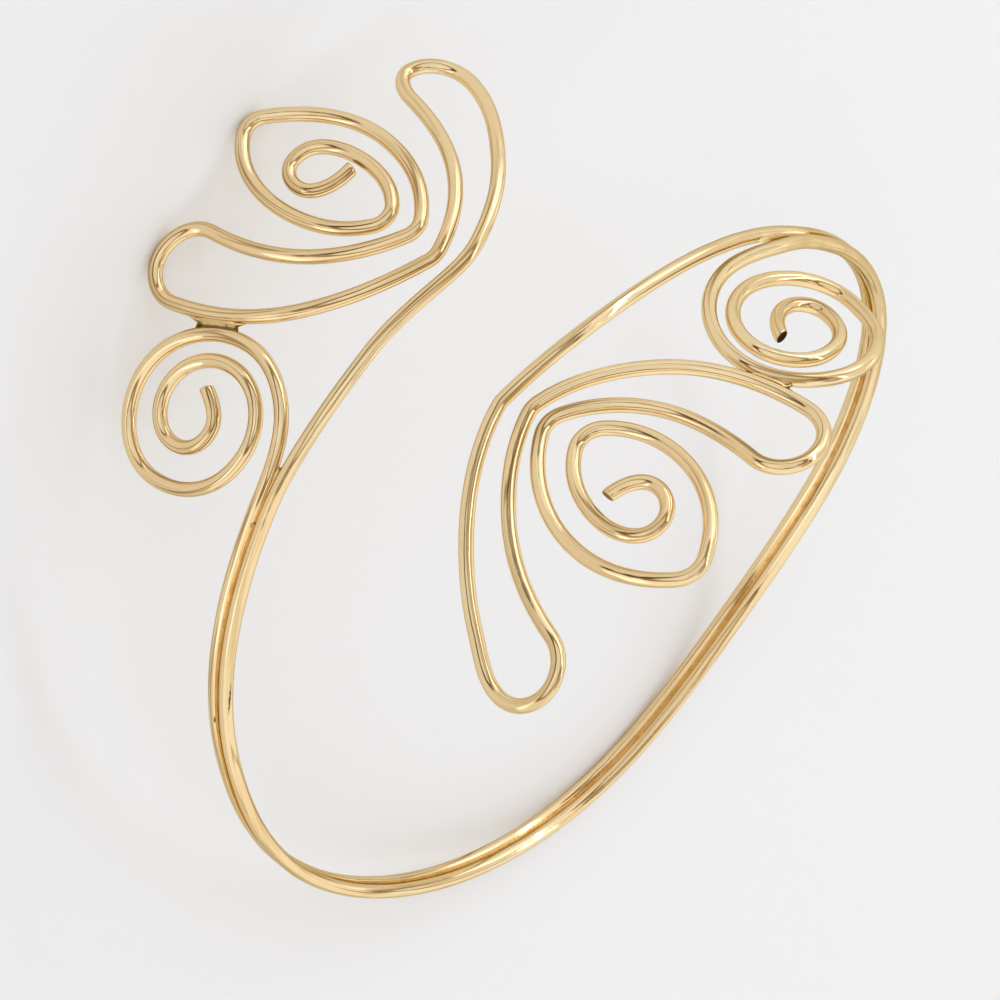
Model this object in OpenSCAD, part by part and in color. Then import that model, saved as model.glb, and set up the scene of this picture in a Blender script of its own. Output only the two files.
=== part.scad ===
// Upper arm cuff, bent by hand from two round wires lying side by side.
// Around the back and sides the two wires are one flat band. At each end they
// part: one is coiled into a scroll, the other is bent into two long petals and
// a pointed almond wound inside itself. Both ends carry the same flower, one
// above and one below the middle line, so that they pass each other at the
// front. The cuff lies on its lower flower and the back of its band.
//
// The wires are laid out flat first, and the flat pattern is then wrapped
// around the hoop. A flat place is written as two distances in mm:
//   along  along the hoop from the middle of the back, towards the end
//   up     across the hoop from its middle line, towards that end's flower
// A heading is the way the wire runs there, in degrees: 0 along the hoop away
// from the back, 90 towards the flower's tips. Where the heading in and the
// heading out differ, the wire has a sharp bend. The lower flower's tables are
// those of an upper one, which is then turned half round.

/* [Wire] */
// Thickness of the round wire, mm
wire_d = 1.5; // [1.2:0.1:2.0]

/* [Hoop] */
// How far the springy hoop is opened, 1 as it lies by itself
opened = 1.0; // [0.95:0.01:1.3]
// Half the outline of the hoop, from the back to the front: length of each arc, its radius
hoop_arcs = [
    [30, 40.8],
    [30, 45.8],
    [30, 45],
    [40, 45.7],
    [60, 48.6],
];
// Middle of the band, from the lower end to the upper end: along, up, heading
band = [
    [-107, -8.1, 5],
    [-78, -4.7, 10],
    [-45, -1.6, 4],
    [0, -0.3, -3],
    [20, -0.8, 2.5],
    [45, 2.1, 7],
    [95, 7.1, 3],
];

/* [Upper flower] */
// Radius of the upper flower's sharp bends, taken at the middle of the wire, mm
upper_bend_r = 2.8; // [1.0:0.1:3.2]
// Stem: along, up, heading in, heading out
upper_stem = [
    [101.5, 6.4, 2, 2],
    [123.9, 7.5, 2, 2],
    [141.3, 7.4, 0, 17],
];
// Long petal at the tip: along, up, heading in, heading out
upper_long_petal = [
    [153, 13.8, 39, 39],
    [160.5, 21.5, 53, 53],
    [163.8, 27.5, 88, 88],
    [160.1, 31.2, 181, 181],
    [156.1, 28, 255, 255],
    [150, 16.9, 226, 226],
    [139.8, 10.4, 200, 169],
];
// Upright petal beside the scroll: along, up, heading in, heading out
upper_side_petal = [
    [127.9, 16.2, 139, 139],
    [121.3, 29.4, 96, 96],
    [125.4, 34.2, 8, 8],
    [129.9, 30.4, -92, -92],
    [132.1, 19.3, -60, -60],
    [139.9, 12.3, -28, 30],
];
// Almond, outer turn then inner turn: along, up, heading in, heading out
upper_almond = [
    [148.2, 24.6, 88, 88],
    [143.1, 35.9, 132, 206],
    [134.4, 24.3, -91, -91],
    [138.5, 15.7, -47, 31],
    [144.6, 24.7, 90, 90],
    [141.5, 29.1, 178, 178],
    [138.4, 26, -91, -91],
    [142.2, 22.9, -8, -8],
];
// Scroll, a quarter turn to a row: along, up, heading in, heading out
upper_scroll = [
    [102.9, 8.8, 6, 6],
    [113.5, 10.4, 20, 20],
    [121.6, 19.9, 87, 87],
    [112.8, 28.1, 184, 184],
    [105.5, 24.8, 222, 222],
    [102.7, 19.5, 254, 254],
    [111, 13, 1, 1],
    [119, 19.7, 89, 89],
    [113.8, 24.8, 183, 183],
    [107.9, 19.9, 265, 265],
    [111.1, 17.3, 4, 4],
    [115.5, 20.6, 65, 65],
];

/* [Lower flower] */
// Radius of the lower flower's sharp bends, taken at the middle of the wire, mm
lower_bend_r = 2.2; // [1.0:0.1:3.2]
// Stem: along, up, heading in, heading out
lower_stem = [
    [113, 7.7, 0, 0],
    [127.9, 7.7, 1, 1],
    [140.6, 6.7, -6, 15],
];
// Long petal at the tip: along, up, heading in, heading out
lower_long_petal = [
    [151.6, 13.1, 48, 48],
    [157.3, 22.6, 78, 78],
    [154, 28.2, 173, 173],
    [151.3, 25.2, 262, 262],
    [146.9, 14.4, 230, 230],
    [139.2, 9.5, 198, 162],
];
// Upright petal beside the scroll: along, up, heading in, heading out
lower_side_petal = [
    [126.6, 16.8, 136, 136],
    [119.5, 29.1, 105, 105],
    [123.3, 33.5, -2, -2],
    [127.5, 30.2, -82, -82],
    [132.1, 19, -51, -51],
    [140.3, 12.8, -26, 38],
];
// Almond, outer turn then inner turn: along, up, heading in, heading out
lower_almond = [
    [145.9, 23.7, 90, 90],
    [138.7, 36, 138, 213],
    [133.5, 26.1, -86, -86],
    [139.3, 15.7, -39, 44],
    [142.7, 22.4, 90, 90],
    [138.3, 28.8, 186, 186],
    [136.3, 26.6, -94, -94],
    [140.7, 23.3, 6, 6],
];
// Scroll, a quarter turn to a row: along, up, heading in, heading out
lower_scroll = [
    [118.2, 12.3, 45, 45],
    [120.9, 19.2, 96, 96],
    [111.6, 27.9, 179, 179],
    [103.7, 21.4, 274, 274],
    [112.2, 13, -2, -2],
    [118.2, 18.8, 91, 91],
    [112.2, 24.6, 181, 181],
    [108.1, 21.2, 269, 269],
    [111.6, 17.7, -1, -1],
    [114.9, 20.6, 63, 63],
];

/* [Solder] */
// Width of the solder between the two wires of the band, across the band, mm
seam_w = 0.5; // [0.3:0.1:0.8]
// Thickness of that solder, out from the arm, mm
seam_t = 0.6; // [0.3:0.1:1.0]
// Thickness of the web where the wires part, mm
web_d = 0.9; // [0.6:0.1:1.2]
// Middle of the web where the upper end's wires part: along, up
upper_web = [
    [94.5, 7.1],
    [97, 7.2],
    [99.5, 7.35],
    [102, 7.55],
];
// Middle of the web where the lower end's wires part: along, up
lower_web = [
    [106.5, 8.05],
    [109, 8.25],
    [111, 8.45],
    [113, 8.65],
];
// Thickness of the drop between the side petal and the scroll, mm
drop_d = 1.1; // [0.8:0.1:1.4]
// Upper drop, along the line where the side petal meets the scroll: along, up
upper_drop = [
    [122.1, 22.8],
    [121.7, 23.8],
    [121.3, 24.8],
    [120.9, 25.7],
];
// Lower drop, along the line where the side petal meets the scroll: along, up
lower_drop = [
    [120.9, 22.8],
    [120.4, 23.8],
    [119.9, 24.7],
];

/* [Rest] */
// Turn about the arm before the cuff is laid down, degrees
rest_turn = 7.3; // [-30:0.1:30]
// Lean of the hoop's axis from upright, degrees
rest_lean = 21.0; // [0:0.1:90]

/* [Hidden] */
metal = [0.86, 0.69, 0.38];
ring_sides = 12;
ring_turn = 20;
ring_step = 4;
ball_sides = 12;
smooth_turn = 1;

// The wire as a list of knots [along, up, heading] and stretches between them
function bent(from, to) = to - from - 360 * round((to - from) / 360);
function way(heading) = [cos(heading), sin(heading)];
function place(knot) = [knot[0], knot[1]];
function row_knots(row, bend_r) =
    let (turn = bent(row[2], row[3]), cut = bend_r * tan(abs(turn) / 2))
    abs(turn) < smooth_turn
        ? [[row[0], row[1], row[2]]]
        : [
            concat(place(row) - cut * way(row[2]), row[2]),
            concat(place(row) + cut * way(row[3]), row[3]),
        ];
function knots(rows, bend_r) = [for (row = rows) each row_knots(row, bend_r)];
function other_end(rows, bend_r) =
    let (k = knots(rows, bend_r), n = len(k))
    [for (i = [n - 1:-1:0]) [-k[i][0], -k[i][1], k[i][2]]];
function lane(side) = [for (row = band) concat(place(row) + side * [-sin(row[2]), cos(row[2])], row[2])];
function steps(a, b) =
    max(2, ceil(abs(bent(a[2], b[2])) / ring_turn), ceil(norm(place(b) - place(a)) / ring_step));
// A stretch is a cubic curve that leaves and meets its knots along their headings
function stretch(a, b) =
    let (
        n = steps(a, b),
        reach = norm(place(b) - place(a)) / (3 * pow(cos(bent(a[2], b[2]) / 4), 2)),
        p = place(a),
        q = p + reach * way(a[2]),
        s = place(b),
        r = s - reach * way(b[2])
    )
    [
        for (i = [1:n])
        let (
            t = i / n,
            u = 1 - t,
            at = u * u * u * p + 3 * u * u * t * q + 3 * u * t * t * r + t * t * t * s,
            run = u * u * (q - p) + 2 * u * t * (r - q) + t * t * (s - r)
        )
        [at[0], at[1], atan2(run[1], run[0])]
    ];
function course(k) = concat([k[0]], [for (i = [1:len(k) - 1]) each stretch(k[i - 1], k[i])]);

// The hoop, walked arc by arc from the back, where it runs towards -X: [x, y, heading]
function walk(left, i = 0, at = [0, 0], heading = 180) =
    let (
        arc = hoop_arcs[i],
        r = arc[1] * opened,
        run = i == len(hoop_arcs) - 1 ? left : min(left, arc[0]),
        on = heading + run / r * 180 / PI,
        middle = at + r * [-sin(heading), cos(heading)],
        to = middle + r * [sin(on), -cos(on)]
    )
    run >= left ? [to[0], to[1], on] : walk(left - run, i + 1, to, on);
function hoop(along) = let (w = walk(abs(along))) along < 0 ? [-w[0], w[1], -w[2]] : w;

// A section [out, side] carried along a course and wrapped around the hoop
function ring(knot, section) =
    let (
        w = hoop(knot[0]),
        out = [sin(w[2]), -cos(w[2]), 0],
        side = [-sin(knot[2]) * cos(w[2]), -sin(knot[2]) * sin(w[2]), cos(knot[2])],
        middle = [w[0], w[1], knot[1]]
    )
    [for (c = section) middle + c[0] * out + c[1] * side];
function skin(way_along, section) = [for (knot = way_along) each ring(knot, section)];
// A round wire's section has as many sides as given and the round wire's own area
function round_section(d, sides) =
    let (r = d / 2 * sqrt(2 * PI / (sides * sin(360 / sides))))
    [for (i = [0:sides - 1]) let (a = -(i + 0.5) * 360 / sides) r * [cos(a), sin(a)]];
function flat_section(out, side) =
    [[out, side] / 2, [out, -side] / 2, [-out, -side] / 2, [-out, side] / 2];

// Each wire is the petals of one flower, a lane of the band and the scroll of the other
upper_petals = concat(upper_stem, upper_long_petal, upper_side_petal, upper_almond);
lower_petals = concat(lower_stem, lower_long_petal, lower_side_petal, lower_almond);
wire_round = round_section(wire_d, ring_sides);
first_wire =
    course(concat(other_end(lower_petals, lower_bend_r), lane(wire_d / 2), knots(upper_scroll, upper_bend_r)));
second_wire =
    course(concat(other_end(lower_scroll, lower_bend_r), lane(-wire_d / 2), knots(upper_petals, upper_bend_r)));

// Laid down: the wires' points after the turn and the lean, to find the floor
function laid(p) =
    let (
        q = [p[0] * cos(rest_turn) - p[1] * sin(rest_turn), p[1] * cos(rest_turn) + p[0] * sin(rest_turn), p[2]]
    )
    [q[0], q[1] * cos(rest_lean) + q[2] * sin(rest_lean), q[2] * cos(rest_lean) - q[1] * sin(rest_lean)];
laid_points = [for (p = concat(skin(first_wire, wire_round), skin(second_wire, wire_round))) laid(p)];
laid_x = [for (p = laid_points) p[0]];
laid_y = [for (p = laid_points) p[1]];
laid_z = [for (p = laid_points) p[2]];
rest_shift = -[(min(laid_x) + max(laid_x)) / 2, (min(laid_y) + max(laid_y)) / 2, min(laid_z)];

// A solid swept along a course, closed by a flat face at each end
module swept(way_along, section) {
    m = len(section);
    n = len(way_along);
    polyhedron(
        points = skin(way_along, section),
        faces = concat(
            [[for (j = [0:m - 1]) j]],
            [
                for (i = [0:n - 2], j = [0:m - 1])
                let (k = (j + 1) % m)
                each [
                    [i * m + j, (i + 1) * m + j, (i + 1) * m + k],
                    [i * m + j, (i + 1) * m + k, i * m + k],
                ]
            ],
            [[for (j = [m - 1:-1:0]) (n - 1) * m + j]]
        ),
        convexity = 12
    );
}

// A ball of solder at a flat place of the upper end, or of the lower end with side -1
module ball(at, d, side) {
    translate(ring([side * at[0], side * at[1], 0], [[0, 0]])[0])
        sphere(d = d, $fn = ball_sides);
}

// Solder run from place to place, rounded all along
module run_of_solder(places, d, side) {
    for (i = [1:len(places) - 1])
        hull() {
            ball(places[i - 1], d, side);
            ball(places[i], d, side);
        }
}

// The whole cuff: two wires and the solder that makes them one
module cuff() {
    color(metal)
        translate(rest_shift)
            rotate([-rest_lean, 0, 0])
                rotate([0, 0, rest_turn]) {
                    swept(first_wire, wire_round);
                    swept(second_wire, wire_round);
                    swept(course(band), flat_section(seam_t, seam_w));
                    run_of_solder(upper_web, web_d, 1);
                    run_of_solder(lower_web, web_d, -1);
                    run_of_solder(upper_drop, drop_d, 1);
                    run_of_solder(lower_drop, drop_d, -1);
                }
}

cuff();
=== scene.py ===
import bpy
import numpy as np
from mathutils import Matrix, Vector


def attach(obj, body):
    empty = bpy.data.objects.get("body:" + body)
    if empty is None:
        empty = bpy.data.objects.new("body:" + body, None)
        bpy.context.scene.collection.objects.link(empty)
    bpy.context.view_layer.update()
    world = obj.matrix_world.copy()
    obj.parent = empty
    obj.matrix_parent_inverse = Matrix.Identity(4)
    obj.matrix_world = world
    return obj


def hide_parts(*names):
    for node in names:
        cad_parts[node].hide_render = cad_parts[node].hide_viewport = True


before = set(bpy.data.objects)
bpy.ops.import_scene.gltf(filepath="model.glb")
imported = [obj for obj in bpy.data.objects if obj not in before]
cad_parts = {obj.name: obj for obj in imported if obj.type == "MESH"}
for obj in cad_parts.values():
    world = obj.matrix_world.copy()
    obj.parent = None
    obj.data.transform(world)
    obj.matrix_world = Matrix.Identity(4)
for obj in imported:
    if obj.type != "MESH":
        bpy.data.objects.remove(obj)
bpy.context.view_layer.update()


# First wire
# Round brass wire 1.5 mm thick, bent cold by hand round jaws and mandrels. From its start it is the
# almond and the petals of the lower flower, then the upper lane of the band, then the upper scroll.
# All of the cuff is polished and gold plated after it is bent and soldered.

wire_thick = 0.0015
section_sides = 28
# Stations lie this near to each other, turn this little in degrees, and are this many to a stretch
station_gap = 0.00052
station_turn = 5.0
least_stations = 4

# Half the hoop's outline from the middle of its back: length of each arc, its radius
hoop_arcs = (
    (0.030, 0.0408),
    (0.030, 0.0458),
    (0.030, 0.0450),
    (0.040, 0.0457),
    (0.060, 0.0486),
)
# Middle of the band, from the lower end to the upper end: along the hoop, up, heading
band_middle = (
    (-0.1070, -0.0081, 5),
    (-0.0780, -0.0047, 10),
    (-0.0450, -0.0016, 4),
    (0.0000, -0.0003, -3),
    (0.0200, -0.0008, 2.5),
    (0.0450, 0.0021, 7),
    (0.0950, 0.0071, 3),
)
# Flower rows: along the hoop towards the end, up towards the flower's tips, heading in, heading out.
# Where the two headings differ, the wire has a sharp bend.
lower_bend_radius = 0.0022
lower_petals = (
    (0.1130, 0.0077, 0, 0),
    (0.1279, 0.0077, 1, 1),
    (0.1381, 0.00685, -5, -5),
    (0.1430, 0.00735, 21, 21),
    (0.1516, 0.0131, 48, 48),
    (0.1573, 0.0226, 78, 78),
    (0.1540, 0.0282, 173, 173),
    (0.1513, 0.0252, 262, 262),
    (0.1469, 0.0144, 230, 230),
    (0.1392, 0.0094, 198, 162),
    (0.1266, 0.0168, 136, 136),
    (0.1195, 0.0291, 105, 105),
    (0.1233, 0.0335, -2, -2),
    (0.1275, 0.0302, -82, -82),
    (0.1321, 0.0190, -51, -51),
    (0.1403, 0.0128, -26, 38),
    (0.1459, 0.0237, 90, 90),
    (0.1387, 0.0360, 138, 213),
    (0.1335, 0.0261, -86, -86),
    (0.1393, 0.0157, -39, 44),
    (0.1427, 0.0224, 90, 90),
    (0.1383, 0.0288, 186, 186),
    (0.1363, 0.0266, -94, -94),
    (0.1413, 0.0234, 7, 7),
)
upper_scroll = (
    (0.1029, 0.0088, 6, 6),
    (0.1135, 0.0104, 20, 20),
    (0.1216, 0.0199, 87, 87),
    (0.1128, 0.0281, 184, 184),
    (0.1055, 0.0248, 222, 222),
    (0.1027, 0.0195, 254, 254),
    (0.1110, 0.0130, 1, 1),
    (0.1190, 0.0197, 89, 89),
    (0.1138, 0.0248, 183, 183),
    (0.1079, 0.0199, 265, 265),
    (0.1111, 0.0173, 4, 4),
    (0.1155, 0.0206, 65, 65),
)

# How the cuff lies: turned about the arm, leaned over, and the middle of the hoop's back put in its place
rest_turn = np.radians(7.3)
rest_lean = np.radians(21.0)
hoop_back_at = np.array((-0.005653, 0.047817, 0.001817))

# The pinch of a sharp bend: its share of the radius, and the turns in radians per metre at which it begins
# and is full. It fades into its neighbours by these weights.
pinch = 0.03
pinch_begins = 300
pinch_full = 430
pinch_fade = (0.05, 0.1, 0.2, 0.3, 0.2, 0.1, 0.05)
# Drawn wire isn't quite even: share by which its radius wavers, and the rates of two waves
waver = 0.004
waver_rates = (900, 347)
# The rounded edge of a sheared end: distances from the end, and the share of the radius at each
edge_places = np.array((0.0, 0.00003, 0.00009, 0.0002, 0.0004))
edge_shares = np.array((0.80, 0.88, 0.95, 0.985, 1.0))
# How far from an end its slant is felt
slant_reach = 0.0012


def heading_way(heading):
    """Unit steps (cosine, sine) of a heading in degrees."""
    return np.stack([np.cos(np.radians(heading)), np.sin(np.radians(heading))], -1)


def short_turn(start, end):
    """The turn from one heading to the other, the short way round, in degrees."""
    return (np.subtract(end, start) + 180) % 360 - 180


def knots_of(rows, bend_radius=0.0):
    """Rows to knots (along, up, heading). A sharp bend becomes two knots, each the bend's radius
    times the tangent of half its turn away from the row's place."""
    knots = []
    for along, up, heading_in, heading_out in rows:
        turn = short_turn(heading_in, heading_out)
        if abs(turn) < 1:
            knots.append((along, up, heading_in))
            continue
        cut = bend_radius * np.tan(np.radians(abs(turn)) / 2)
        before = (along, up) - cut * heading_way(heading_in)
        after = (along, up) + cut * heading_way(heading_out)
        knots.append((before[0], before[1], heading_in))
        knots.append((after[0], after[1], heading_out))
    return np.array(knots, float)


def other_end(knots):
    """The same flower on the lower end: turned half round and walked the other way."""
    return knots[::-1] * (-1, -1, 1)


def lane_of(rows, side):
    """The band's middle line moved to its left by a distance, square to each row's heading."""
    rows = np.array(rows, float)
    ways = heading_way(rows[:, 2])
    return np.column_stack([rows[:, 0] - side * ways[:, 1], rows[:, 1] + side * ways[:, 0], rows[:, 2]])


def flat_course(knots):
    """Stations (along, up, heading) on cubic curves that leave and meet the knots along their headings.
    A curve runs from p to s with its handles at q and r, each handle as long as a third of the chord over
    the squared cosine of a quarter of the turn."""
    start, end = knots[:-1], knots[1:]
    turn = short_turn(start[:, 2], end[:, 2])
    chord = np.hypot(*(end - start)[:, :2].T)
    reach = (chord / (3 * np.cos(np.radians(turn / 4)) ** 2))[:, None]
    p, s = start[:, :2], end[:, :2]
    q = p + reach * heading_way(start[:, 2])
    r = s - reach * heading_way(end[:, 2])
    count = np.ceil(np.maximum(np.abs(turn) / station_turn, chord / station_gap))
    count = count.astype(int).clip(least_stations)
    at = np.repeat(np.arange(len(count)), count)
    t = ((np.arange(count.sum()) - np.repeat(np.cumsum(count) - count, count) + 1) / count[at])[:, None]
    u = 1 - t
    p, q, r, s = p[at], q[at], r[at], s[at]
    places = u**3 * p + 3 * u * u * t * q + 3 * u * t * t * r + t**3 * s
    run = u * u * (q - p) + 2 * u * t * (r - q) + t * t * (s - r)
    heading = np.degrees(np.arctan2(run[:, 1], run[:, 0]))
    return np.vstack([knots[0], np.column_stack([places, heading])])


def on_hoop(along):
    """x, y and heading of the hoop at distances from the middle of its back, on the arc each one falls on.
    An arc turns the heading by distance over radius, and moves x by the radius times the gain in sine
    and y by the radius times the loss in cosine. A negative distance is the mirror image."""
    lengths, radii = np.array(hoop_arcs).T
    begins = np.concatenate([[0], np.cumsum(lengths)[:-1]])
    turned = np.radians(180) + np.concatenate([[0], np.cumsum(lengths / radii)[:-1]])
    far = np.abs(along)
    arc = np.searchsorted(begins, far, side="right") - 1
    ends = turned + lengths / radii
    steps_x = radii * (np.sin(ends) - np.sin(turned))
    steps_y = radii * (np.cos(turned) - np.cos(ends))
    from_x = np.concatenate([[0], np.cumsum(steps_x)[:-1]])[arc]
    from_y = np.concatenate([[0], np.cumsum(steps_y)[:-1]])[arc]
    heading = turned[arc] + (far - begins[arc]) / radii[arc]
    x = from_x + radii[arc] * (np.sin(heading) - np.sin(turned[arc]))
    y = from_y + radii[arc] * (np.cos(turned[arc]) - np.cos(heading))
    hand = np.where(along < 0, -1.0, 1.0)
    return hand * x, y, hand * heading


def lie_down(points):
    """Points of the upright hoop turned about the arm (z), leaned over about x and moved to where the
    cuff rests."""
    x, y, z = np.moveaxis(points, -1, 0)
    x, y = x * np.cos(rest_turn) - y * np.sin(rest_turn), y * np.cos(rest_turn) + x * np.sin(rest_turn)
    y, z = y * np.cos(rest_lean) + z * np.sin(rest_lean), z * np.cos(rest_lean) - y * np.sin(rest_lean)
    return np.stack([x, y, z], -1) + hoop_back_at


def wrapped(course, out, side, ahead):
    """A profile carried along a course on the hoop. At each station a profile point lies the distance out
    from the hoop's surface, side across the course and ahead along it. Arrays: stations by profile points."""
    x, y, turn = on_hoop(course[:, 0])
    lean = np.radians(course[:, 2])
    level = np.zeros_like(x)
    middle = np.stack([x, y, course[:, 1]], -1)
    outward = np.stack([np.sin(turn), -np.cos(turn), level], -1)
    across = np.stack([-np.sin(lean) * np.cos(turn), -np.sin(lean) * np.sin(turn), np.cos(lean)], -1)
    onward = np.stack([np.cos(lean) * np.cos(turn), np.cos(lean) * np.sin(turn), np.sin(lean)], -1)
    points = middle[:, None] + out[..., None] * outward[:, None] + side[..., None] * across[:, None]
    return lie_down(points + ahead[..., None] * onward[:, None])


def distance_along(course):
    """Length of the course from its start to each station."""
    return np.concatenate([[0], np.cumsum(np.hypot(*np.diff(course[:, :2], axis=0).T))])


def closed_tube(name, points, kept, end_rings):
    """A mesh of stations by profile points, closed round the profile and by a fan at each end. kept are
    arrays that the mesh keeps on its points. The faces within end_rings of the start get the second
    material slot, and those within end_rings of the end the third."""
    stations, around = points.shape[:2]
    row, step = np.meshgrid(np.arange(stations - 1), np.arange(around), indexing="ij")
    after = (step + 1) % around
    near, far = row * around, (row + 1) * around
    quads = np.stack([near + step, far + step, far + after, near + after], -1).reshape(-1, 4)
    first, last = stations * around, stations * around + 1
    ring = np.arange(around)
    start_fan = np.stack([np.full(around, first), ring, (ring + 1) % around], -1)
    end_fan = np.stack([np.full(around, last), (ring + 1) % around, ring], -1)
    end_fan[:, 1:] += (stations - 1) * around
    places = np.vstack([points.reshape(-1, 3), points[0].mean(0), points[-1].mean(0)])
    corners = np.concatenate([quads.ravel(), start_fan.ravel(), end_fan.ravel()])
    sizes = np.concatenate([np.full(len(quads), 4), np.full(2 * around, 3)])
    mesh = bpy.data.meshes.new(name)
    mesh.vertices.add(len(places))
    mesh.vertices.foreach_set("co", places.ravel())
    mesh.loops.add(len(corners))
    mesh.loops.foreach_set("vertex_index", corners.astype(np.int32))
    mesh.polygons.add(len(sizes))
    mesh.polygons.foreach_set("loop_start", (np.cumsum(sizes) - sizes).astype(np.int32))
    mesh.polygons.foreach_set("use_smooth", np.ones(len(sizes), bool))
    rings = row.ravel()
    slots = np.where(rings < end_rings, 1, np.where(rings >= stations - 1 - end_rings, 2, 0))
    fan_slots = np.repeat((1, 2), around) if end_rings else np.zeros(2 * around)
    slots = np.concatenate([slots, fan_slots])
    mesh.polygons.foreach_set("material_index", slots.astype(np.int32))
    mesh.update(calc_edges=True)
    for label, values in kept.items():
        kind, unit = ("FLOAT_VECTOR", "vector") if values.ndim == 3 else ("FLOAT", "value")
        flat = values.reshape(stations * around, -1)
        middles = [values[0].mean(0).reshape(1, -1), values[-1].mean(0).reshape(1, -1)]
        mesh.attributes.new(label, kind, "POINT").data.foreach_set(unit, np.vstack([flat, *middles]).ravel())
    return mesh


def smooth_step(low, high, value):
    """0 below low, 1 above high, and an S-shaped cubic between."""
    t = np.clip((value - low) / (high - low), 0, 1)
    return t * t * (3 - 2 * t)


def wire_mesh(name, knots, slant_start, slant_end):
    """A round wire: a circle carried along its course. Where it bends sharply the circle is an oval,
    thinner across the bend and wider outwards, as pinched wire is. The last bit before each end narrows
    as a rounded edge, and the end is sheared off at a slant: side times slant ahead."""
    course = flat_course(knots)
    length = distance_along(course)
    heading = np.unwrap(np.radians(course[:, 2]))
    tight = smooth_step(pinch_begins, pinch_full, np.abs(np.gradient(heading, length)))
    tight = np.convolve(np.pad(tight, len(pinch_fade) // 2, mode="edge"), pinch_fade, mode="valid")
    stations = np.unique(np.concatenate([length, edge_places, length[-1] - edge_places]))
    left = stations[-1] - stations
    columns = (*course[:, :2].T, np.degrees(heading))
    course = np.column_stack([np.interp(stations, length, column) for column in columns])
    tight = np.interp(stations, length, tight)[:, None]
    waves = np.sin(stations * waver_rates[0]) * np.sin(stations * waver_rates[1] + 1)
    rounding = np.interp(stations, edge_places, edge_shares) * np.interp(left, edge_places, edge_shares)
    radius = (wire_thick / 2 * (1 + waver * waves) * rounding)[:, None]
    angle = (np.arange(section_sides) + 0.5) * 2 * np.pi / section_sides
    out = radius * np.cos(angle) * (1 + pinch * tight)
    side = radius * np.sin(angle) * (1 - pinch * tight)
    near_start = np.interp(stations, (0, slant_reach), (1, 0))
    near_end = np.interp(left, (0, slant_reach), (1, 0))
    slant = (slant_start * near_start + slant_end * near_end)[:, None]
    straight = np.stack(np.broadcast_arrays(stations[:, None], out, side), -1)
    kept = {"straight_place": straight, "tight_bend": np.repeat(tight, section_sides, 1)}
    return closed_tube(name, wrapped(course, out, side, side * slant), kept, 1)


def set_inputs(tree, node, **inputs):
    """Sets or links a node's inputs. A label has _ for a space, or is _ and the input's number."""
    for label, value in inputs.items():
        socket = node.inputs[int(label[1:])] if label[0] == "_" else node.inputs[label.replace("_", " ")]
        if isinstance(value, bpy.types.NodeSocket):
            tree.links.new(value, socket)
        else:
            socket.default_value = value
    return node


def add_node(tree, kind, settings=(), **inputs):
    """A node with its settings made and its inputs set or linked."""
    node = tree.nodes.new(kind)
    for setting, value in dict(settings).items():
        setattr(node, setting, value)
    return set_inputs(tree, node, **inputs)


def maths(tree, operation, *values):
    """The result of a Math node. Each value is a number or a socket."""
    inputs = {f"_{number}": value for number, value in enumerate(values)}
    return add_node(tree, "ShaderNodeMath", {"operation": operation}, **inputs).outputs[0]


def vector_maths(tree, operation, first, second):
    """The result of a Vector Math node: a number for a dot product or a distance, otherwise a vector."""
    node = add_node(tree, "ShaderNodeVectorMath", {"operation": operation}, _0=first, _1=second)
    return node.outputs["Value" if operation in ("DOT_PRODUCT", "DISTANCE") else "Vector"]


def noise(tree, place, scale, detail, **more):
    """Noise between 0 and 1, mostly near its middle value of a half, read at a place."""
    return add_node(tree, "ShaderNodeTexNoise", Vector=place, Scale=scale, Detail=detail, **more).outputs[0]


def ranged(tree, value, low, high, at_low=0.0, at_high=1.0, curve="LINEAR"):
    """at_low where the value is below low, at_high where it is above high, and a line or curve between."""
    ends = {"From_Min": low, "From_Max": high, "To_Min": at_low, "To_Max": at_high}
    return add_node(tree, "ShaderNodeMapRange", {"interpolation_type": curve}, Value=value, **ends).outputs[0]


def off_middle(tree, value):
    """How far a noise is from its middle value. It is near 0 on thin lines."""
    return maths(tree, "ABSOLUTE", maths(tree, "SUBTRACT", value, 0.5))


def mixed(tree, share, under, over):
    """The colour under, with the share of the colour over it."""
    return add_node(tree, "ShaderNodeMix", {"data_type": "RGBA"}, _0=share, _6=under, _7=over).outputs[2]


def bump(tree, height, distance, **more):
    """A surface whose height goes from 0 to the distance."""
    return add_node(tree, "ShaderNodeBump", Height=height, Distance=distance, Strength=1.0, **more).outputs[0]


def shader_group(name, takes, gives):
    """A shader node group with named inputs and outputs. takes are names, kinds and defaults, and gives
    are names and kinds."""
    group = bpy.data.node_groups.new(name, "ShaderNodeTree")
    for label, kind, default in takes:
        socket = group.interface.new_socket(name=label, in_out="INPUT", socket_type="NodeSocket" + kind)
        if default is not None:
            socket.default_value = default
    for label, kind in gives:
        group.interface.new_socket(name=label, in_out="OUTPUT", socket_type="NodeSocket" + kind)
    return group, group.nodes.new("NodeGroupInput").outputs, group.nodes.new("NodeGroupOutput")


def use_group(tree, group, **inputs):
    """The outputs of one group placed in a material with its own values."""
    return add_node(tree, "ShaderNodeGroup", {"node_tree": group}, **inputs).outputs


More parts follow.
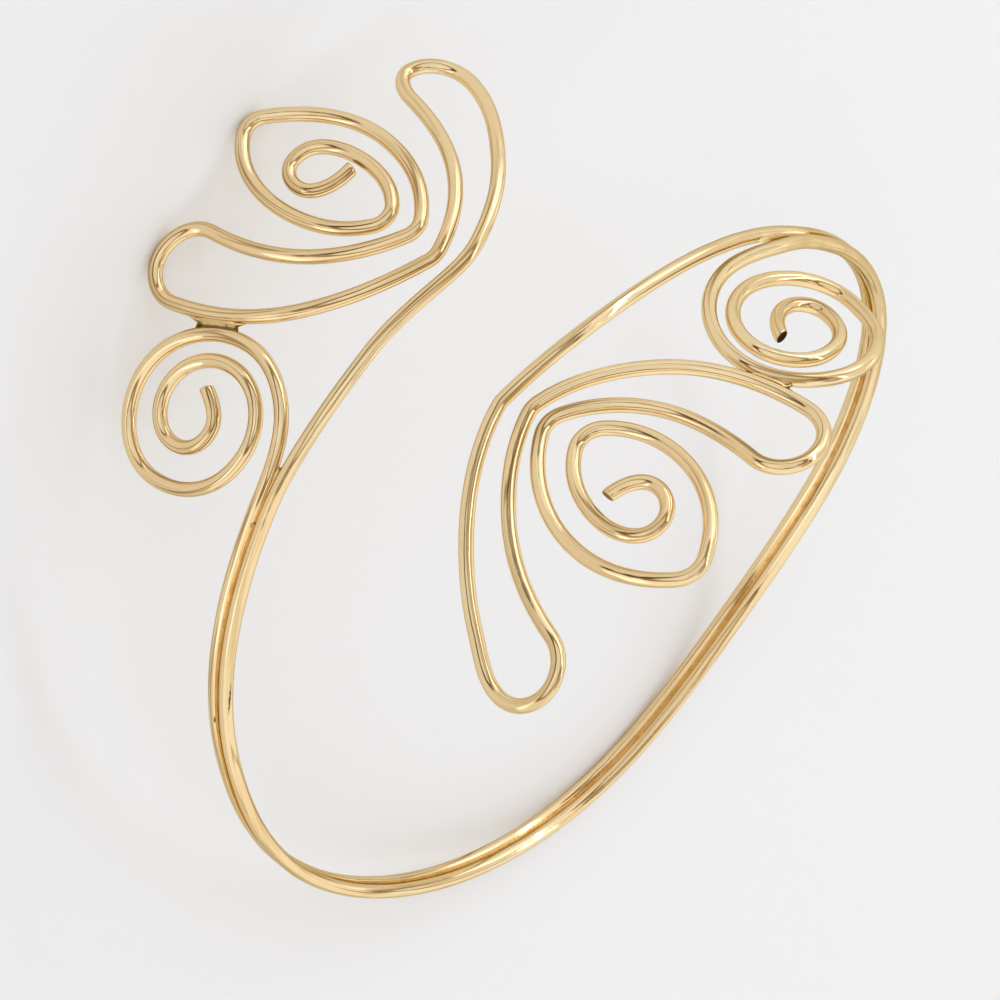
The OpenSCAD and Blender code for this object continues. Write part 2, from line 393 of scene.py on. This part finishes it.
def drawing_marks():
    """Group: the faint lines that the drawing plate leaves along a wire. Noise is read at the place that a
    point had in the straight wire, stretched along it, once fine and once coarse. The die line is a thin dark
    line where a slow noise crosses its middle value, broken by the coarse one. It is partly a die scratch and
    partly a painted dark reflection along the wire."""
    group, given, made = shader_group(
        "drawing_marks",
        (("Straight Place", "Vector", None), ("Fine", "Float", 4500.0), ("Coarse", "Float", 1500.0)),
        (("Height", "Float"), ("Streak", "Float"), ("Line", "Float"), ("Die Line", "Float")),
    )
    # Layers of noise: scale, its share along the wire, detail
    layers = ((given["Fine"], 0.012, 2.0), (given["Coarse"], 0.05, 3.0), (700.0, 0.02, 1.0))
    fine, coarse, slow = (
        noise(group, vector_maths(group, "MULTIPLY", given["Straight Place"], (share, 1, 1)), scale, detail)
        for scale, share, detail in layers
    )
    coarse_height = 1.6
    scratch = ranged(group, off_middle(group, slow), 0.002, 0.02, at_low=1.0, at_high=0.0, curve="SMOOTHSTEP")
    kept = ranged(group, coarse, 0.36, 0.5)
    set_inputs(
        group, made,
        Height=maths(group, "MULTIPLY_ADD", coarse, coarse_height, fine),
        Streak=ranged(group, coarse, 0.35, 0.65),
        Line=ranged(group, coarse, 0.5, 0.66, curve="SMOOTHSTEP"),
        Die_Line=maths(group, "MULTIPLY", scratch, kept),
    )
    return group


def handling_wear():
    """Group: what wearing and handling leave on polished plating. Smudge is soft cloudy patches, Rub is
    short scratches on the thin lines of a warped noise, Dent is a slow unevenness of the surface."""
    group, given, made = shader_group(
        "handling_wear",
        (("Place", "Vector", None), ("Patch Scale", "Float", 140.0), ("Scratch Scale", "Float", 900.0)),
        (("Smudge", "Float"), ("Rub", "Float"), ("Dent", "Float")),
    )
    place = given["Place"]
    gate_scale, dent_scale = 420.0, 260.0
    cloud = noise(group, place, given["Patch Scale"], 4.0, Roughness=0.55)
    warp = noise(group, place, given["Scratch Scale"], 1.0, Distortion=1.5)
    scratch = ranged(group, off_middle(group, warp), 0.0, 0.012, at_low=1.0, at_high=0.0)
    kept = ranged(group, noise(group, place, gate_scale, 0.0), 0.56, 0.64)
    set_inputs(
        group, made,
        Smudge=ranged(group, cloud, 0.42, 0.68, curve="SMOOTHSTEP"),
        Rub=maths(group, "MULTIPLY", scratch, kept),
        Dent=noise(group, place, dent_scale, 1.0),
    )
    return group


def gold_tone():
    """Group: the colour of the plating. It drifts slowly between a pale and a warm gold, and goes to a third
    colour by a mask, as where the metal is thin, worked or heated."""
    group, given, made = shader_group(
        "gold_tone",
        (
            ("Place", "Vector", None),
            ("Pale", "Color", (0.9, 0.7, 0.4, 1)),
            ("Warm", "Color", (0.9, 0.6, 0.3, 1)),
            ("Worked", "Color", (0.8, 0.5, 0.2, 1)),
            ("Mask", "Float", 0.0),
        ),
        (("Color", "Color"),),
    )
    drift_scale = 55.0
    drift = ranged(group, noise(group, given["Place"], drift_scale, 2.0), 0.36, 0.64)
    tone = mixed(group, drift, given["Pale"], given["Warm"])
    set_inputs(group, made, Color=mixed(group, given["Mask"], tone, given["Worked"]))
    return group


def dark_spot():
    """Group: a dark spot. It is 1 where the place is nearer to Middle than the half length along the wire and
    the half width across it, and falls off outside with a ragged soft edge."""
    group, given, made = shader_group(
        "dark_spot",
        (
            ("Place", "Vector", None),
            ("Middle", "Vector", None),
            ("Along", "Vector", None),
            ("Half Length", "Float", 0.001),
            ("Half Width", "Float", 0.0002),
        ),
        (("Mask", "Float"),),
    )
    away = vector_maths(group, "SUBTRACT", given["Place"], given["Middle"])
    run = vector_maths(group, "DOT_PRODUCT", away, given["Along"])
    onward = add_node(group, "ShaderNodeVectorMath", {"operation": "SCALE"}, _0=given["Along"], Scale=run)
    aside = vector_maths(group, "DISTANCE", away, onward.outputs[0])
    wide = maths(group, "DIVIDE", aside, given["Half Width"])
    long = maths(group, "DIVIDE", run, given["Half Length"])
    both = maths(group, "MULTIPLY_ADD", long, long, maths(group, "MULTIPLY", wide, wide))
    ragged_scale, ragged_share = 4000.0, 1.6
    ragged = noise(group, given["Place"], ragged_scale, 2.0)
    worn = maths(group, "MULTIPLY_ADD", ragged, ragged_share, both)
    spot = ranged(group, worn, 0.8, 1.9, at_low=1.0, at_high=0.0, curve="SMOOTHSTEP")
    set_inputs(group, made, Mask=spot)
    return group


def blank_material(name):
    """A material with its nodes cleared, a Principled shader joined to its output, and Object coordinates."""
    material = bpy.data.materials.new(name)
    material.use_nodes = True
    tree = material.node_tree
    tree.nodes.clear()
    shader = tree.nodes.new("ShaderNodeBsdfPrincipled")
    tree.links.new(shader.outputs[0], tree.nodes.new("ShaderNodeOutputMaterial").inputs[0])
    return material, tree, shader, tree.nodes.new("ShaderNodeTexCoord").outputs["Object"]


def kept_value(tree, label, output):
    """What a mesh keeps on its points under a label."""
    return add_node(tree, "ShaderNodeAttribute", {"attribute_name": label}).outputs[output]


drawing_marks_group = drawing_marks()
handling_wear_group = handling_wear()
gold_tone_group = gold_tone()
dark_spot_group = dark_spot()

# Polished gold plating: pale yellow, olive where it is seen edge on, with drawing marks along the wire
pale_gold = (0.88, 0.69, 0.40, 1)
warm_gold = (0.86, 0.63, 0.34, 1)
worked_gold = (0.86, 0.65, 0.36, 1)
gold_edge_on = (0.74, 0.66, 0.46, 1)
drawn_line_colour = (0.62, 0.43, 0.19, 1)
drawn_line_share = 0.6
drawn_line_height = 0.000007
# The die line's dark brown is partly a painted dark reflection along the wire
die_line_and_painted_reflection_colour = (0.26, 0.13, 0.02, 1)
die_line_and_painted_reflection_share = 0.72
dent_height = 0.00012
dark_spot_colour = (0.07, 0.04, 0.015, 1)
polish_rough = 0.07

gold_wire, tree, shader, place = blank_material("polished_gold_wire")
tight = kept_value(tree, "tight_bend", "Fac")
marks = use_group(tree, drawing_marks_group, Straight_Place=kept_value(tree, "straight_place", "Vector"))
wear = use_group(tree, handling_wear_group, Place=place)
tone = use_group(
    tree, gold_tone_group, Place=place, Mask=tight, Pale=pale_gold, Warm=warm_gold, Worked=worked_gold
)

# Each kind of wear adds its share to the roughness of the polish
rough = polish_rough
for worn, share in ((marks["Streak"], 0.05), (wear["Smudge"], 0.07), (wear["Rub"], 0.18), (tight, 0.06)):
    rough = maths(tree, "MULTIPLY_ADD", worn, share, rough)
lines = bump(tree, marks["Height"], drawn_line_height)
dents = bump(tree, wear["Dent"], dent_height, Normal=lines)

# Two dark spots lie beside the seam, on the side that is at the left of the picture.
# Rows: middle, half length, half width
seam_way = Vector((0.36, 0.91, -0.22)).normalized()
long_spot, round_spot = (
    use_group(
        tree, dark_spot_group, Place=place, Middle=middle, Along=seam_way,
        Half_Length=half_length, Half_Width=half_width,
    )["Mask"]
    for middle, half_length, half_width in (
        ((0.0406, -0.0076, 0.0182), 0.0024, 0.00017),
        ((0.0419, -0.0049, 0.0158), 0.0006, 0.00032),
    )
)
spots = maths(tree, "MAXIMUM", long_spot, round_spot)
drawn_line = maths(tree, "MULTIPLY", marks["Line"], drawn_line_share)
# Dark lines along the wire: die scratches and painted dark reflections
die_line_and_painted_reflection = maths(tree, "MULTIPLY", marks["Die Line"], die_line_and_painted_reflection_share)
drawn = mixed(tree, drawn_line, tone["Color"], drawn_line_colour)
scored_and_painted_reflections = mixed(tree, die_line_and_painted_reflection, drawn, die_line_and_painted_reflection_colour)
spotted = mixed(tree, spots, scored_and_painted_reflections, dark_spot_colour)
set_inputs(
    tree, shader, Base_Color=spotted, Roughness=rough, Normal=dents, Metallic=1.0, Specular_Tint=gold_edge_on
)


# The ends were sheared before plating and have taken some gold. The end of the upper scroll is near-black.
end_edge_on = (0.30, 0.24, 0.16, 1)


def sheared_end(name, deep, raised):
    """The face of a sheared end: torn grain whose hollows and ridges have a colour each."""
    material, tree, shader, place = blank_material(name)
    grain_scale, grain_height = 5200.0, 0.00002
    grain = noise(tree, place, grain_scale, 3.0)
    set_inputs(
        tree, shader,
        Base_Color=mixed(tree, grain, deep, raised),
        Roughness=ranged(tree, grain, 0.0, 1.0, at_low=0.35, at_high=0.6),
        Normal=bump(tree, grain, grain_height),
        Metallic=1.0,
        Specular_Tint=end_edge_on,
    )
    return material


plated_end = sheared_end("plated_wire_end", deep=(0.34, 0.20, 0.09, 1), raised=(0.58, 0.40, 0.20, 1))
darkened_end = sheared_end("darkened_wire_end", deep=(0.03, 0.02, 0.01, 1), raised=(0.10, 0.06, 0.03, 1))


def add_piece(name, mesh, materials):
    """One piece of the cuff: its object at the origin, riding on the frame and standing for the CAD cuff."""
    piece = bpy.data.objects.new(name, mesh)
    bpy.context.scene.collection.objects.link(piece)
    for material in materials:
        mesh.materials.append(material)
    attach(piece, "root")
    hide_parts("cuff")


first_knots = np.vstack(
    [
        other_end(knots_of(lower_petals, lower_bend_radius)),
        lane_of(band_middle, wire_thick / 2),
        knots_of(upper_scroll),
    ]
)
first_mesh = wire_mesh("first_wire", first_knots, slant_start=0.25, slant_end=-0.5)
add_piece("first_wire", first_mesh, (gold_wire, plated_end, darkened_end))


# Second wire
# The same wire, laid under the first one in the band. From its start it is the lower scroll, then the
# lower lane of the band, then the petals and the almond of the upper flower.

lower_scroll = (
    (0.1182, 0.0123, 45, 45),
    (0.1209, 0.0192, 96, 96),
    (0.1116, 0.0279, 179, 179),
    (0.1037, 0.0214, 274, 274),
    (0.1122, 0.0130, -2, -2),
    (0.1182, 0.0188, 91, 91),
    (0.1122, 0.0246, 181, 181),
    (0.1081, 0.0212, 269, 269),
    (0.1116, 0.0177, -1, -1),
    (0.1149, 0.0206, 63, 63),
)
upper_bend_radius = 0.0028
upper_petals = (
    (0.1015, 0.0064, 2, 2),
    (0.1239, 0.0075, 2, 2),
    (0.1413, 0.0074, 0, 17),
    (0.1530, 0.0138, 39, 39),
    (0.1605, 0.0215, 53, 53),
    (0.1638, 0.0275, 88, 88),
    (0.1601, 0.0312, 181, 181),
    (0.1561, 0.0280, 255, 255),
    (0.1500, 0.0169, 226, 226),
    (0.1398, 0.0102, 200, 169),
    (0.1279, 0.0162, 139, 139),
    (0.1213, 0.0294, 96, 96),
    (0.1254, 0.0342, 8, 8),
    (0.1299, 0.0304, -92, -92),
    (0.1321, 0.0193, -60, -60),
    (0.1399, 0.0123, -28, 30),
    (0.1482, 0.0246, 88, 88),
    (0.1431, 0.0359, 132, 206),
    (0.1344, 0.0243, -91, -91),
    (0.1385, 0.0157, -47, 31),
    (0.1446, 0.0247, 90, 90),
    (0.1415, 0.0291, 178, 178),
    (0.1384, 0.0260, -91, -91),
    (0.1422, 0.0229, -8, -8),
)
second_knots = np.vstack(
    [
        other_end(knots_of(lower_scroll)),
        lane_of(band_middle, -wire_thick / 2),
        knots_of(upper_petals, upper_bend_radius),
    ]
)
second_mesh = wire_mesh("second_wire", second_knots, slant_start=0.2, slant_end=-0.2)
add_piece("second_wire", second_mesh, (gold_wire, plated_end, plated_end))


# Solder in the band
# Hard solder drawn by heat into the groove between the two wires, all along the band. It leaves a thin hollow
# fillet, browner than the wires: partly the solder's colour, partly painted shade of the groove.

seam_half_width = 0.0005
seam_depth = 0.00050
seam_hollow = 0.00062
solder_sides = 40
solder_edge_on = (0.45, 0.32, 0.16, 1)
# Sine round a fillet at which the dark edge, partly flux residue and partly painted crevice shade, is full
stain_and_shade_full = 0.7


def solder_mesh(name, course, half_width, depth, hollow, creep, stain_and_shade):
    """A fillet on both faces: side is the half width times sine, and out is cosine times the depth plus the
    hollow times sine squared, so that it rises towards the wires. The solder creeps ahead along the wires
    by the creep times sine squared, twice as far on the side where the sine is negative as on the other.
    On that other side the joint's edge is dark, partly flux residue and partly painted shade of the crevice.
    Each size may change along the course."""
    angle = (np.arange(solder_sides) + 0.5) * 2 * np.pi / solder_sides
    half_width, depth, hollow, creep = (
        np.broadcast_to(size, len(course))[:, None] for size in (half_width, depth, hollow, creep)
    )
    side = half_width * np.sin(angle)
    out = np.cos(angle) * (depth + hollow * np.sin(angle) ** 2)
    straight = np.stack(np.broadcast_arrays(distance_along(course)[:, None], out, side), -1)
    ahead = creep * np.sin(angle) ** 2 * (1.5 - 0.5 * np.sin(angle))
    stained_and_shaded = np.broadcast_to(stain_and_shade * smooth_step(0.0, stain_and_shade_full, np.sin(angle)), side.shape)
    kept = {"straight_place": straight, "joint_stain_and_shade": stained_and_shaded}
    return closed_tube(name, wrapped(course, out, side, ahead), kept, 0)


def plated_solder(name, pale, warm, worked, burnt_and_shaded):
    """Solder under the plating: less polished than the wire and finely rippled. It drifts between three
    colours and is dark brown at the joint's edge, partly flux residue and partly painted crevice shade."""
    material, tree, shader, place = blank_material(name)
    ripple_scale, ripple_height = 1400.0, 0.00005
    wear = use_group(tree, handling_wear_group, Place=place, Patch_Scale=600.0, Scratch_Scale=2200.0)
    tone = use_group(
        tree, gold_tone_group, Place=place, Mask=wear["Smudge"], Pale=pale, Warm=warm, Worked=worked
    )
    ripple = noise(tree, place, ripple_scale, 2.0)
    stain_and_shade = maths(tree, "MULTIPLY", kept_value(tree, "joint_stain_and_shade", "Fac"), ripple)
    set_inputs(
        tree, shader,
        # The dark brown at the joint's edge is partly painted shade of the crevice between the wires
        Base_Color=mixed(tree, ranged(tree, stain_and_shade, 0.1, 0.5), tone["Color"], burnt_and_shaded),
        Roughness=maths(tree, "MULTIPLY_ADD", wear["Smudge"], 0.12, 0.14),
        Normal=bump(tree, ripple, ripple_height),
        Metallic=1.0,
        Specular_Tint=solder_edge_on,
    )
    return material


# Its browner colours are partly painted shade of the groove between the wires
seam_solder_and_painted_shade = plated_solder(
    "seam_solder_and_painted_shade",
    pale=(0.77, 0.44, 0.15, 1),
    warm=(0.70, 0.38, 0.11, 1),
    worked=(0.60, 0.31, 0.08, 1),
    burnt_and_shaded=(0.11, 0.06, 0.02, 1),
)
band_course = flat_course(np.array(band_middle, float))
band_mesh = solder_mesh("band_solder", band_course, seam_half_width, seam_depth, seam_hollow, 0.0, 0.0)
add_piece("band_solder", band_mesh, (seam_solder_and_painted_shade,))


# Solder webs where the wires part
# Past each end of the band the solder fills the narrow wedge between the parting wires. Each web is a
# fillet that widens with the gap, thins towards its edge and creeps a little further along both wires.

# Rows: along the hoop, up, heading, half width
upper_web = (
    (0.0943, 0.00708, 3, 0.00040),
    (0.0970, 0.00721, 3, 0.00046),
    (0.0995, 0.00736, 4, 0.00064),
    (0.1034, 0.00768, 5, 0.00086),
)
lower_web = (
    (0.1063, 0.00804, 5, 0.00040),
    (0.1090, 0.00827, 5, 0.00041),
    (0.1110, 0.00844, 5, 0.00048),
    (0.1128, 0.00861, 7, 0.00063),
)
web_depth = 0.00022
web_hollow = 0.0007
web_creep = 0.0005
# An open end of a fillet is this full in the middle, and this wide in shares of its row
least_full = 0.1
least_wide = 0.6


def fall_off(share):
    """How full a fillet is: the square root of one less the eighth power of the share of the way."""
    return np.sqrt(np.clip(1 - share**8, least_full**2, 1))


def fillet_between(name, rows, hand, depth, hollow, creep, open_start, stain_and_shade):
    """Solder between two wires that aren't parallel. Its half width comes from the rows, and its depth falls
    off at an open end. It creeps on past an open end along both wires. The end is always open, and the
    start where open_start is 1. hand is 1 at the upper end of the cuff and -1 at the lower one, where the
    rows are turned half round."""
    rows = np.array(rows, float) * (hand, hand, 1, 1)
    rows[:, 2] += 90 - 90 * hand
    course = flat_course(rows[:, :3])
    length = distance_along(course)
    share = length / length[-1]
    half_width = np.interp(share, np.linspace(0, 1, len(rows)), rows[:, 3])
    full = fall_off(share) * (fall_off(1 - share) if open_start else 1)
    half_width *= least_wide + (1 - least_wide) * full
    creep_here = creep * (share - open_start * (1 - share))
    return solder_mesh(name, course, half_width, depth * full, hollow * full, creep_here, stain_and_shade)


joint_solder = plated_solder(
    "joint_solder",
    pale=(0.84, 0.62, 0.31, 1),
    warm=(0.78, 0.54, 0.24, 1),
    worked=(0.66, 0.44, 0.18, 1),
    burnt_and_shaded=(0.19, 0.13, 0.05, 1),
)
for name, rows, hand in (("upper_web", upper_web, 1), ("lower_web", lower_web, -1)):
    web_mesh = fillet_between(
        name, rows, hand, web_depth, web_hollow, web_creep, open_start=0, stain_and_shade=0.0
    )
    add_piece(name, web_mesh, (joint_solder,))


# Solder drops
# A drop of hard solder holds the side petal to the outer turn of the scroll in each flower, where the two
# wires come closest. It spreads along both wires and stays a little thinner than they are.

# Rows: along the hoop, up, heading, half width
upper_drop = (
    (0.12215, 0.02270, 111, 0.00062),
    (0.12171, 0.02381, 112, 0.00054),
    (0.12135, 0.02468, 114, 0.00062),
    (0.12085, 0.02580, 116, 0.00086),
)
lower_drop = (
    (0.12138, 0.02182, 115, 0.00080),
    (0.12102, 0.02258, 116, 0.00067),
    (0.12064, 0.02334, 117, 0.00064),
    (0.12026, 0.02406, 118, 0.00069),
    (0.11979, 0.02490, 119, 0.00084),
)
# Rows: name, its rows, end of the cuff, depth, hollow, darkness of the edge from flux residue and painted
# crevice shade
solder_drops = (
    ("upper_drop", upper_drop, 1, 0.0003, 0.0006, 0.6),
    ("lower_drop", lower_drop, -1, 0.0004, 0.0005, 2.0),
)
drop_creep = 0.0008
for name, rows, hand, depth, hollow, stain_and_shade in solder_drops:
    drop_mesh = fillet_between(name, rows, hand, depth, hollow, drop_creep, open_start=1, stain_and_shade=stain_and_shade)
    add_piece(name, drop_mesh, (joint_solder,))


# Table top
# A plain table with pale matt paint, faintly uneven and wide enough to fill every view. It is no part
# of the cuff, which lies on it at height 0.

table_half = 2.0
table_corners = [(x * table_half, y * table_half, 0) for x, y in ((-1, -1), (1, -1), (1, 1), (-1, 1))]
table_mesh = bpy.data.meshes.new("table_top")
table_mesh.from_pydata(table_corners, [], [(0, 1, 2, 3)])
table_top = bpy.data.objects.new("table_top", table_mesh)
bpy.context.scene.collection.objects.link(table_top)

duller_paint = (0.92, 0.92, 0.92, 1)
paler_paint = (0.94, 0.94, 0.94, 1)
paint_scale = 3.0
pale_matt, tree, shader, place = blank_material("pale_matt_table")
paint = mixed(tree, noise(tree, place, paint_scale, 2.0), duller_paint, paler_paint)
set_inputs(tree, shader, Base_Color=paint, Roughness=0.8)
table_mesh.materials.append(pale_matt)


# Light
# Plain soft studio light: one large softbox at the right of the picture, whose faint shadows fall to the
# left, in a pale room. The polished wires mirror the room's lighter and darker walls and a tube lamp.

softbox_from = Vector((-0.80, 0.08, 0.60))
softbox_size = 1.0
softbox_energy = 2.7
softbox_data = bpy.data.lights.new("softbox", "AREA")
softbox_data.shape = "SQUARE"
softbox_data.size = softbox_size
softbox_data.energy = softbox_energy
softbox = bpy.data.objects.new("softbox", softbox_data)
softbox.location = softbox_from
softbox.rotation_euler = softbox_from.to_track_quat("Z", "Y").to_euler()
bpy.context.scene.collection.objects.link(softbox)

room_pale = (0.86, 0.87, 0.89, 1)
room_strength = 1.27
# Rows: way to the middle of a patch of the room, angle out to which it is full, angle at which it ends,
# colour
room_patches = (
    # A wide brown wall behind the camera, its pale middle, and a paler place in that
    ((0.22, -0.68, 0.70), 43, 47, (0.24, 0.18, 0.11, 1)),
    ((0.22, -0.68, 0.70), 34, 38, (0.70, 0.71, 0.73, 1)),
    ((0.47, -0.72, 0.51), 6, 18, (0.82, 0.84, 0.87, 1)),
    # Brown patches of the ceiling
    ((-0.22, -0.17, 0.96), 8, 16, (0.28, 0.21, 0.13, 1)),
    ((-0.21, 0.32, 0.92), 9, 18, (0.42, 0.35, 0.25, 1)),
    ((-0.53, 0.36, 0.77), 6, 15, (0.48, 0.41, 0.31, 1)),
    ((0.36, -0.11, 0.93), 5, 12, (0.26, 0.20, 0.13, 1)),
    # A dark surround behind the softbox, and a low dark wall
    ((-0.80, 0.08, 0.60), 28, 33, (0.03, 0.03, 0.03, 1)),
    ((0.37, -0.92, -0.12), 15, 19, (0.08, 0.06, 0.03, 1)),
    # Cool light from low down: one wide patch, and three small ones on the other side
    ((-0.84, -0.46, 0.28), 15, 22, (1.00, 1.06, 1.16, 1)),
    ((0.93, -0.35, 0.07), 6, 11, (1.18, 1.27, 1.40, 1)),
    ((0.99, -0.12, 0.10), 6, 11, (1.22, 1.32, 1.45, 1)),
    ((0.99, 0.10, 0.10), 6, 11, (1.22, 1.32, 1.45, 1)),
)
# The tube lamp: axis of the cone that it follows and its cosine, way to its middle, reach, colour
tube_axis = Vector((-0.972, 0.222, -0.073))
tube_level = 0.51
tube_middle = Vector((-0.74, -0.42, 0.52)).normalized()
tube_reach = 0.55
tube_tint = (2.6, 2.8, 3.1, 1)


def soft_patch():
    """Group: one patch of the room laid over the colour under it. The patch is full where the way looked in
    is nearer to its axis than Core, both told by their cosines, and ends softly at Edge."""
    group, given, made = shader_group(
        "soft_patch",
        (
            ("Toward", "Vector", None),
            ("Under", "Color", (1, 1, 1, 1)),
            ("Axis", "Vector", None),
            ("Core", "Float", 0.9),
            ("Edge", "Float", 0.6),
            ("Tint", "Color", (1, 1, 1, 1)),
        ),
        (("Color", "Color"),),
    )
    facing = vector_maths(group, "DOT_PRODUCT", given["Toward"], given["Axis"])
    cover = ranged(group, facing, given["Edge"], given["Core"], curve="SMOOTHSTEP")
    set_inputs(group, made, Color=mixed(group, cover, given["Under"], given["Tint"]))
    return group


def tube_glow():
    """Group: a long curved tube lamp laid over the colour under it. It follows the ways whose cosine to Axis
    is Level, for as far as they are within Reach, a cosine too, of the lamp's middle."""
    group, given, made = shader_group(
        "tube_glow",
        (
            ("Toward", "Vector", None),
            ("Under", "Color", (1, 1, 1, 1)),
            ("Axis", "Vector", None),
            ("Level", "Float", 0.5),
            ("Middle", "Vector", None),
            ("Reach", "Float", 0.6),
            ("Tint", "Color", (1, 1, 1, 1)),
        ),
        (("Color", "Color"),),
    )
    # Cosines: how far the lamp is full to each side, where it ends, and how softly it ends lengthwise
    half_core, half_edge, end_fade = 0.018, 0.036, 0.1
    facing = vector_maths(group, "DOT_PRODUCT", given["Toward"], given["Axis"])
    off_level = maths(group, "ABSOLUTE", maths(group, "SUBTRACT", facing, given["Level"]))
    across = ranged(group, off_level, half_core, half_edge, at_low=1.0, at_high=0.0, curve="SMOOTHSTEP")
    near = vector_maths(group, "DOT_PRODUCT", given["Toward"], given["Middle"])
    past_reach = maths(group, "SUBTRACT", near, given["Reach"])
    along = ranged(group, past_reach, 0.0, end_fade, curve="SMOOTHSTEP")
    cover = maths(group, "MULTIPLY", across, along)
    set_inputs(group, made, Color=mixed(group, cover, given["Under"], given["Tint"]))
    return group


room = bpy.data.worlds.new("pale_room")
room.use_nodes = True
tree = room.node_tree
tree.nodes.clear()
toward = tree.nodes.new("ShaderNodeTexCoord").outputs["Generated"]
soft_patch_group = soft_patch()
shade = room_pale
for axis, core, edge, tint in room_patches:
    shade = use_group(
        tree, soft_patch_group, Toward=toward, Under=shade, Axis=Vector(axis).normalized(),
        Core=np.cos(np.radians(core)), Edge=np.cos(np.radians(edge)), Tint=tint,
    )["Color"]
shade = use_group(
    tree, tube_glow(), Toward=toward, Under=shade, Axis=tube_axis, Level=tube_level,
    Middle=tube_middle, Reach=tube_reach, Tint=tube_tint,
)["Color"]
glow = add_node(tree, "ShaderNodeBackground", Color=shade, Strength=room_strength)
tree.links.new(glow.outputs[0], tree.nodes.new("ShaderNodeOutputWorld").inputs[0])
bpy.context.scene.world = room
bpy.context.scene.view_settings.view_transform = "Standard"


# Camera
# At the photograph's angle to the cuff, above the table. The cuff leant another way there, so the camera
# is rolled to see it the same way round.

# Its place, the way back from the picture, its roll, and the lens and the sensor's width in millimetres
camera_place = Vector((0.23620, -0.39357, 0.49165))
camera_back = Vector((0.35421, -0.59367, 0.72256)).normalized()
camera_roll = np.radians(116.11)
camera_lens = 231.27
camera_sensor = 36.0
level_right = Vector((0, 0, 1)).cross(camera_back).normalized()
level_up = camera_back.cross(level_right)
camera_right = level_right * np.cos(camera_roll) + level_up * np.sin(camera_roll)
camera_up = camera_back.cross(camera_right)
camera_data = bpy.data.cameras.new("camera")
camera_data.lens = camera_lens
camera_data.sensor_width = camera_sensor
camera_data.clip_start = 0.01
camera_data.clip_end = 20.0
camera = bpy.data.objects.new("camera", camera_data)
camera_turn = Matrix((camera_right, camera_up, camera_back)).transposed().to_4x4()
camera.matrix_world = Matrix.Translation(camera_place) @ camera_turn
bpy.context.scene.collection.objects.link(camera)
bpy.context.scene.camera = camera
